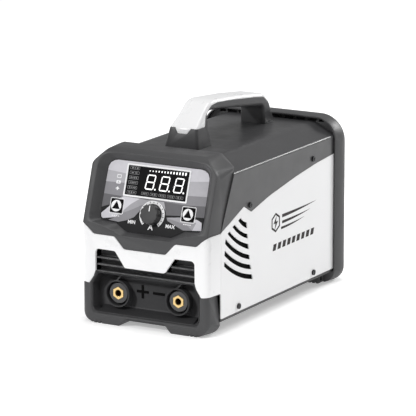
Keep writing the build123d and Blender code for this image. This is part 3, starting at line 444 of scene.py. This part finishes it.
# printed bands and facets of the film, each a tone and an outline in mm from the dial's centre
film = {
    "topBand": ("pale", [(-53.6, 36.6), (-34, 35.0), (34, 34.6), (53.7, 36.6), (53.4, 40), (51.6, 43.6),
                         (48, 46), (44, 46.8), (-44, 46.8), (-48, 46), (-51.6, 43.6), (-53.4, 40)]),
    "secondBand": ("light", [(-53.9, 25.7), (-33, 26.3), (33, 21.4), (53.9, 22.6), (53.7, 36.6), (34, 34.6),
                             (-34, 35.0), (-53.6, 36.6)]),
    "thirdBand": ("mid", [(-54.1, 14.4), (-33, 13.8), (33, 12.6), (54.1, 13.8), (53.9, 22.6), (33, 21.4),
                          (-33, 26.3), (-53.9, 25.7)]),
    "leftSlate": ("slate", [(-54.3, 1.8), (-46.5, 4.6), (-33, 13.8), (-54.1, 14.4)]),
    "rightSlate": ("slate", [(14.6, 1.2), (30.4, 2.6), (54.2, 3.2), (54.1, 13.8), (33, 12.6), (10.4, 13.4)]),
    "leftWing": ("pale", [(-53.7, -4.0), (-47.5, 2.0), (-36.9, 11.6), (-33.4, 14.6), (-14, 14.2), (-24, 7.5),
                          (-31, 0.5), (-38, -6.2), (-51, -8.6), (-53, -7.2)]),
    "leftFacet": ("silver", [(-14, 14.2), (-24, 7.5), (-31, 0.5), (-34.5, -3.0), (-22, 2.6), (-4, 12.2),
                             (2, 13.8)]),
    "lowerFacet": ("mid", [(-38, -6.2), (-34.5, -3.0), (-22, 2.6), (-4, 12.2), (-12, 4.4), (-18.5, -4.2),
                           (-26, -7.8), (-34, -10.2), (-45, -9.4)]),
    "centreFacet": ("light", [(-4, 12.2), (2, 13.8), (10.4, 13.4), (14.4, 4), (10, 9.2)]),
    "rightWing": ("pale", [(30, 1.0), (47.5, 0.8), (52.6, -1.4), (53.4, -8.8), (44, -9.6), (47, -2.2)]),
    "rightFacet": ("silver", [(15.4, -0.8), (30, 1.0), (47, -2.2), (44, -9.6), (38, -5.4)]),
    "rightShade": ("mid", [(15.4, -0.8), (38, -5.4), (44, -9.6), (34.5, -10.4), (29.6, -8.6), (17, -3.6)]),
}
for printName, (tone, loop) in film.items():
    filmPrint("film_" + printName, [loop], tones[tone])
print("film printed:", len(film))

display = {"x": 0.1, "y": 29.5, "width": 65.4, "height": 28.4, "borderOut": 2.2, "borderIn": 0.9,
           "digitLeft": -12.3, "digitPitch": 15.0, "digitWidth": 9.3, "digitLow": 22.5, "digitHeight": 14.2,
           "slant": 0.115, "stroke": 1.2, "segmentGap": 0.12, "pointRadius": 0.85, "pointGap": 1.9,
           "pointRise": 0.8}
barGraph = {"count": 13, "left": -9.6, "pitch": 3.12, "low": 39.4, "rise": 1.1, "riseMore": 1.7,
            "wide": 1.1, "wideMore": 0.45, "lean": 0.1}
indicators = {"columnX": -25.1, "topY": 41.0, "rowPitch": 4.52, "columnSize": (10.0, 2.9),
              "rowX": -10.8, "rowY": 18.6, "boxPitch": 9.15, "rowSize": (7.7, 2.7),
              "line": 0.3, "margin": 1.2, "blockHalf": 0.3, "barTall": 0.5, "dotTall": 0.34,
              "columnMarks": ("|.|", "..", "|.||", ".||.", "|..|", ".|."),
              "rowMarks": ("||.", ".|", "|.|", "..|", "|.")}


def digitLoops(left):
    # all seven bars of one slanted figure, each with pointed ends
    low, height, width, stroke = (display[k] for k in ("digitLow", "digitHeight", "digitWidth", "stroke"))
    half = stroke / 2
    gap = display["segmentGap"]
    middle = low + height / 2
    flat = []
    for y in (low + half, middle, low + height - half):
        a, b = left + half + gap, left + width - half - gap
        flat.append([(a, y), (a + half, y + half), (b - half, y + half), (b, y), (b - half, y - half),
                     (a + half, y - half)])
    for x in (left + half, left + width - half):
        for start, end in ((low + half, middle), (middle, low + height - half)):
            a, b = start + gap, end - gap
            flat.append([(x, a), (x + half, a + half), (x + half, b - half), (x, b), (x - half, b - half),
                         (x - half, a + half)])
    return [[(x + (y - low) * display["slant"], y) for x, y in loop] for loop in flat]


digits = []
for figure in range(3):
    left = display["digitLeft"] + figure * display["digitPitch"]
    digits += digitLoops(left)
    digits.append(ring(display["pointRadius"], left + display["digitWidth"] + display["pointGap"],
                       display["digitLow"] + display["pointRise"], 16))
for bar in range(barGraph["count"]):
    share = bar / (barGraph["count"] - 1)
    x = barGraph["left"] + bar * barGraph["pitch"]
    low = barGraph["low"]
    high = low + barGraph["rise"] + barGraph["riseMore"] * share
    wide = barGraph["wide"] + barGraph["wideMore"] * share
    lean = barGraph["lean"]
    digits.append([(x, low), (x + wide, low), (x + wide + lean, high), (x + lean, high)])
filmPrint("displayDigits", digits, digitWhite, windowTop)

outside, inside = display["borderOut"], display["borderIn"]
border = [roundedBox(display["x"], display["y"], display["width"] + outside, display["height"] + outside, 1.0),
          roundedBox(display["x"], display["y"], display["width"] - inside, display["height"] - inside, 0.4)]
filmPrint("displayBorder", border, printWhite, windowTop)


def indicatorLoops(x, y, size, pattern):
    # a thin frame with small blocks in it: tall for a bar, short for a dot
    width, height = size
    line = 2 * indicators["line"]
    loops = [roundedBox(x, y, width, height, 0.5), roundedBox(x, y, width - line, height - line, 0.3)]
    step = (width - 2 * indicators["margin"]) / len(pattern)
    half = step * indicators["blockHalf"]
    for i, mark in enumerate(pattern):
        cx = x - width / 2 + indicators["margin"] + step * (i + 0.5)
        tall = height * indicators["dotTall" if mark == "." else "barTall"]
        loops.append([(cx - half, y - tall / 2), (cx + half, y - tall / 2), (cx + half, y + tall / 2),
                      (cx - half, y + tall / 2)])
    return loops


icons = []
for row, pattern in enumerate(indicators["columnMarks"]):
    y = indicators["topY"] - row * indicators["rowPitch"]
    icons += indicatorLoops(indicators["columnX"], y, indicators["columnSize"], pattern)
for column, pattern in enumerate(indicators["rowMarks"]):
    x = indicators["rowX"] + column * indicators["boxPitch"]
    icons += indicatorLoops(x, indicators["rowY"], indicators["rowSize"], pattern)
filmPrint("displayIcons", icons, dimGrey, windowTop)
print("display lit")

dial = {"outer": 13.2, "inner": 10.2, "sweep": 140, "ticks": 15, "endMargin": 6, "tickInner": 11.0,
        "tickLong": 12.7, "tickShort": 12.2, "tickHalf": 1.6}


def arcBand(outer, inner, start, end, steps=48):
    angles = [math.radians(90 - start - (end - start) * i / steps) for i in range(steps + 1)]
    return [(outer * math.cos(a), outer * math.sin(a)) for a in angles] + [
        (inner * math.cos(a), inner * math.sin(a)) for a in reversed(angles)]


filmPrint("dialBand", [arcBand(dial["outer"], dial["inner"], -dial["sweep"], dial["sweep"])], printWhite,
          layer=1)
ticks = []
for i in range(dial["ticks"]):
    reach = dial["sweep"] - dial["endMargin"]
    centre = -reach + i * 2 * reach / (dial["ticks"] - 1)
    outer = dial["tickLong"] if i % 2 == 0 else dial["tickShort"]
    ticks.append(arcBand(outer, dial["tickInner"], centre - dial["tickHalf"], centre + dial["tickHalf"], 2))
filmPrint("dialTicks", ticks, tones["slate"], layer=2)


def lettering(name, words, size, u, v):
    deselectAll()
    bpy.ops.object.text_add()
    text = bpy.context.object
    text.data.body = words
    text.data.size = size * mm
    text.data.align_x = "CENTER"
    text.data.align_y = "CENTER"
    text.data.offset = 0.00014  # thickens the strokes
    text.data.extrude = ink["depth"] * mm / 2
    pick(text)
    bpy.ops.object.convert(target="MESH")
    text = bpy.context.object
    text.matrix_world = filmPlace(u, v, filmTop + ink["depth"] / 2 + ink["gap"] + ink["layerStep"])
    applyPlace(text)
    return finishPiece(text, name, printWhite)


lettering("letterA", "A", 7.6, 0.4, -11.6)
lettering("letterMin", "MIN", 4.5, -20.2, -8.9)
lettering("letterMax", "MAX", 4.5, 20.6, -8.7)

button = {"x": 38.0, "v": 4.3, "frame": 7.5, "hole": 6.85, "disc": 5.4, "arrowUp": 4.6, "arrowDown": 3.0,
          "arrowHalf": 4.2, "dashes": 4, "dashStart": -4, "dashPitch": 2.2, "dashLength": 1.5,
          "dashLow": -9.6, "dashHigh": -8.7}
dialOffset = 0.3  # the dial stands this far right of the middle
for side, body in ((-1, "left_button"), (1, "right_button")):
    u = side * button["x"] - dialOffset
    v = button["v"]
    title = "left" if side < 0 else "right"
    surround = [roundedBox(u, v, 2 * button["frame"], 2 * button["frame"], 1.6),
                roundedBox(u, v, 2 * button["hole"], 2 * button["hole"], 1.0)]
    filmPrint(title + "ButtonSurround", surround, printWhite, layer=1)
    arrow = [(u, v + button["arrowUp"]), (u - button["arrowHalf"], v - button["arrowDown"]),
             (u + button["arrowHalf"], v - button["arrowDown"])]
    filmPrint(title + "ButtonDisc", [ring(button["disc"], u, v, 48), arrow], printWhite, buttonTop,
              body)
    dashes = []
    for i in range(button["dashes"]):
        start = u + button["dashStart"] + i * button["dashPitch"]
        end = start + button["dashLength"]
        low, high = v + button["dashLow"], v + button["dashHigh"]
        dashes.append([(start, low), (end, low), (end, high), (start, high)])
    filmPrint(title + "ButtonDashes", dashes, printWhite, layer=1)
# three small symbols left of the display
pictograms = [roundedBox(-40.6, 31.8, 4.6, 3.4, 0.6), roundedBox(-40.6, 31.8, 3.4, 2.2, 0.3),
              roundedBox(-40.6, 26.4, 4.6, 3.0, 0.6), [(-42.0, 25.8), (-39.2, 25.8), (-40.6, 27.4)],
              [(-42.8, 20.0), (-40.6, 22.2), (-38.4, 20.0), (-40.0, 20.0), (-40.0, 18.8), (-41.2, 18.8),
               (-41.2, 20.0)]]
filmPrint("filmPictograms", pictograms, printWhite, layer=1)
print("panel marked")

emblem = {"lift": 0.00003, "depth": 0.04, "behindMiddle": 0.030, "height": 0.0722, "hexX": -38, "hexY": 12,
          "hexOuter": 9.5, "hexInner": 7.3, "bars": 9, "barStart": -44, "barPitch": 9.4, "barWidth": 6.2,
          "barLean": 2.0, "barLow": -14.5, "barHigh": -8.3, "sweepRise": 3.4}
panelLow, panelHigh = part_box("side_panel_right")


def hexagon(radius):
    corners = [math.radians(60 * i + 30) for i in range(6)]
    return [(radius * math.cos(a) + emblem["hexX"], emblem["hexY"] + radius * math.sin(a)) for a in corners]


def sweepStripe(y, start, end, thick):
    # a stripe that rises and thins to a point towards its far end
    shares = [i / 10 for i in range(11)]
    base = [(start + (end - start) * share, y + emblem["sweepRise"] * share ** 2) for share in shares]
    upper = [(a, b + thick * (1 - share ** 1.5)) for (a, b), share in zip(base, shares)]
    return upper[:-1] + base[::-1]


bolt = [(-36.2, 18.6), (-42.4, 11.2), (-38.6, 11.2), (-40.2, 5.2), (-33.6, 13.0), (-37.4, 13.0)]
emblemLoops = [hexagon(emblem["hexOuter"]), hexagon(emblem["hexInner"]), bolt,
               sweepStripe(14.4, -25.5, 44, 3.2), sweepStripe(8.6, -25.5, 32, 2.8),
               sweepStripe(3.4, -27.5, 20, 2.4)]
for i in range(emblem["bars"]):
    x = emblem["barStart"] + i * emblem["barPitch"]
    wide, lean, low, high = (emblem[k] for k in ("barWidth", "barLean", "barLow", "barHigh"))
    emblemLoops.append([(x, low), (x + wide, low), (x + wide + lean, high), (x + lean, high)])
for side, title in ((1, "right"), (-1, "left")):
    spot = Vector((side * (panelHigh.x + emblem["lift"]),
                   (panelLow.y + panelHigh.y) / 2 + emblem["behindMiddle"], emblem["height"]))
    turn = Matrix(((0, side, 0), (0, 0, 1), (side, 0, 0))).transposed().to_4x4()
    art = flatShape(emblemLoops, emblem["depth"], Matrix.Translation(spot) @ turn)
    finishPiece(art, title + "Emblem", emblemInk)
print("emblems placed")

# dark matt sheets behind the louvres
liner = {"x": 0.0674, "thickness": 0.0004, "startY": -0.1115, "endY": -0.0475, "low": 0.0345, "high": 0.1065,
         "edge": 0.00012}
deselectAll()
bpy.ops.mesh.primitive_cube_add(
    size=1, location=(liner["x"], (liner["startY"] + liner["endY"]) / 2, (liner["low"] + liner["high"]) / 2))
linerRight = bpy.context.object
linerRight.scale = (liner["thickness"], liner["endY"] - liner["startY"], liner["high"] - liner["low"])
applyPlace(linerRight)
bpy.ops.object.mode_set(mode="EDIT")
bpy.ops.mesh.select_all(action="SELECT")
bpy.ops.mesh.bevel(offset=liner["edge"], segments=1)
bpy.ops.object.mode_set(mode="OBJECT")
linerLeft = linerRight.copy()
linerLeft.data = linerRight.data.copy()
bpy.context.collection.objects.link(linerLeft)
linerLeft.location.x = -2 * liner["x"]
applyPlace(linerLeft)
finishPiece(linerRight, "linerRight", linerBlack)
finishPiece(linerLeft, "linerLeft", linerBlack)
print("louvre liners fitted")

# dark brass linings inside the socket bores: painted shade, as little light reaches into the bores
boreShade = {"radius": 0.0032, "wall": 0.00018, "length": 0.0121, "end": 0.0002, "setback": 0.0006, "sides": 48}
low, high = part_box("socket_insert_plus")
deselectAll()
bpy.ops.mesh.primitive_cylinder_add(
    vertices=boreShade["sides"], radius=boreShade["radius"], depth=boreShade["length"], rotation=(math.pi / 2, 0, 0))
plusBoreShade = bpy.context.object
bpy.ops.object.mode_set(mode="EDIT")
bpy.ops.mesh.select_mode(type="FACE")
bpy.ops.mesh.select_all(action="DESELECT")
bpy.ops.object.mode_set(mode="OBJECT")
for face in plusBoreShade.data.polygons:
    face.select = face.normal.z > 0.9
bpy.ops.object.mode_set(mode="EDIT")
bpy.ops.mesh.inset(thickness=boreShade["wall"])
bpy.ops.mesh.extrude_region_move(
    TRANSFORM_OT_translate={"value": (0, 0, -boreShade["length"] + boreShade["end"]), "orient_type": "LOCAL"})
bpy.ops.object.mode_set(mode="OBJECT")
plusBoreShade.location = ((low.x + high.x) / 2, low.y + boreShade["setback"] + boreShade["length"] / 2,
                       (low.z + high.z) / 2)
applyPlace(plusBoreShade)
minusBoreShade = plusBoreShade.copy()
minusBoreShade.data = plusBoreShade.data.copy()
bpy.context.collection.objects.link(minusBoreShade)
minusBoreShade.location.x = -(low.x + high.x)
applyPlace(minusBoreShade)
# dull dark brass: painted shade for the bore interiors
boreShadeBrass = machinedMetal("boreShadeBrass", {
    "colour": (0.2, 0.13, 0.05), "stretch": (6, 1, 6), "lineScale": 420, "roughness": 0.5})
for piece, title in ((plusBoreShade, "plusBoreShade"), (minusBoreShade, "minusBoreShade")):
    finishPiece(piece, title, boreShadeBrass)
    pick(piece)
    bpy.ops.object.shade_smooth_by_angle(angle=math.radians(40))
print("socket boreShades fitted")

# studio: pale floor, white backdrop, four soft lamps
studio = {"floorSize": 6.0, "floorColour": (0.93, 0.93, 0.93), "floorGlow": 0.35, "worldLight": 0.35,
          "backdropLight": 1.1, "aimHeight": 0.09}
deselectAll()
bpy.ops.mesh.primitive_plane_add(size=studio["floorSize"])
floor = bpy.context.object
floor.name = "studioFloor"
floorMaterial, _, floorShader = newMaterial("paperFloor")
floorShader.inputs["Base Color"].default_value = (*studio["floorColour"], 1)
floorShader.inputs["Roughness"].default_value = 1.0
floorShader.inputs["Specular IOR Level"].default_value = 0.0
floorShader.inputs["Emission Color"].default_value = (1, 1, 1, 1)
floorShader.inputs["Emission Strength"].default_value = studio["floorGlow"]
floor.data.materials.append(floorMaterial)

# the backdrop is pure white, but lights the machine more gently than it looks
world = bpy.data.worlds.new("studioWorld")
bpy.context.scene.world = world
world.use_nodes = True
backdrop = world.node_tree.nodes["Background"]
backdrop.inputs["Color"].default_value = (1, 1, 1, 1)
rays = world.node_tree.nodes.new("ShaderNodeLightPath")
strength = world.node_tree.nodes.new("ShaderNodeMapRange")
setInputs(strength, {"To Min": studio["worldLight"], "To Max": studio["backdropLight"]})
world.node_tree.links.new(rays.outputs["Is Camera Ray"], strength.inputs["Value"])
world.node_tree.links.new(strength.outputs["Result"], backdrop.inputs["Strength"])

lamps = {
    "key": {"from": (-1.1, -1.9, 1.5), "size": 0.35, "power": 27},
    "top": {"from": (0.1, 0.2, 2.2), "size": 1.0, "power": 20},
    "rearStrip": {"from": (0.75, 1.9, 1.0), "size": 0.5, "power": 24},
    "rightFill": {"from": (2.4, -0.9, 0.7), "size": 1.2, "power": 3},
}
aim = Vector((0, 0, studio["aimHeight"]))
for name, lamp in lamps.items():
    bpy.ops.object.light_add(type="AREA", location=lamp["from"])
    light = bpy.context.object
    light.name = name + "Light"
    light.data.size = lamp["size"]
    light.data.energy = lamp["power"]
    light.rotation_euler = (aim - Vector(lamp["from"])).to_track_quat("-Z", "Y").to_euler()

camera = {"azimuth": 29.54, "elevation": 12.96, "distance": 3.0108, "right": 0.05819, "up": 0.11199,
          "lens": 283.4}
azimuth = math.radians(camera["azimuth"])
elevation = math.radians(camera["elevation"])
back = Vector((math.sin(azimuth) * math.cos(elevation), -math.cos(azimuth) * math.cos(elevation),
               math.sin(elevation)))
right = Vector((math.cos(azimuth), math.sin(azimuth), 0))
up = back.cross(right)
frontFace = Vector((0, cadBounds[0][1], 0))
bpy.ops.object.camera_add(
    location=frontFace + right * camera["right"] + up * camera["up"] + back * camera["distance"])
view = bpy.context.object
view.name = "studioCamera"
view.rotation_euler = back.to_track_quat("Z", "Y").to_euler()
view.data.lens = camera["lens"]
view.data.clip_end = 50
bpy.context.scene.camera = view
bpy.context.scene.view_settings.view_transform = "Standard"
print("studio ready")
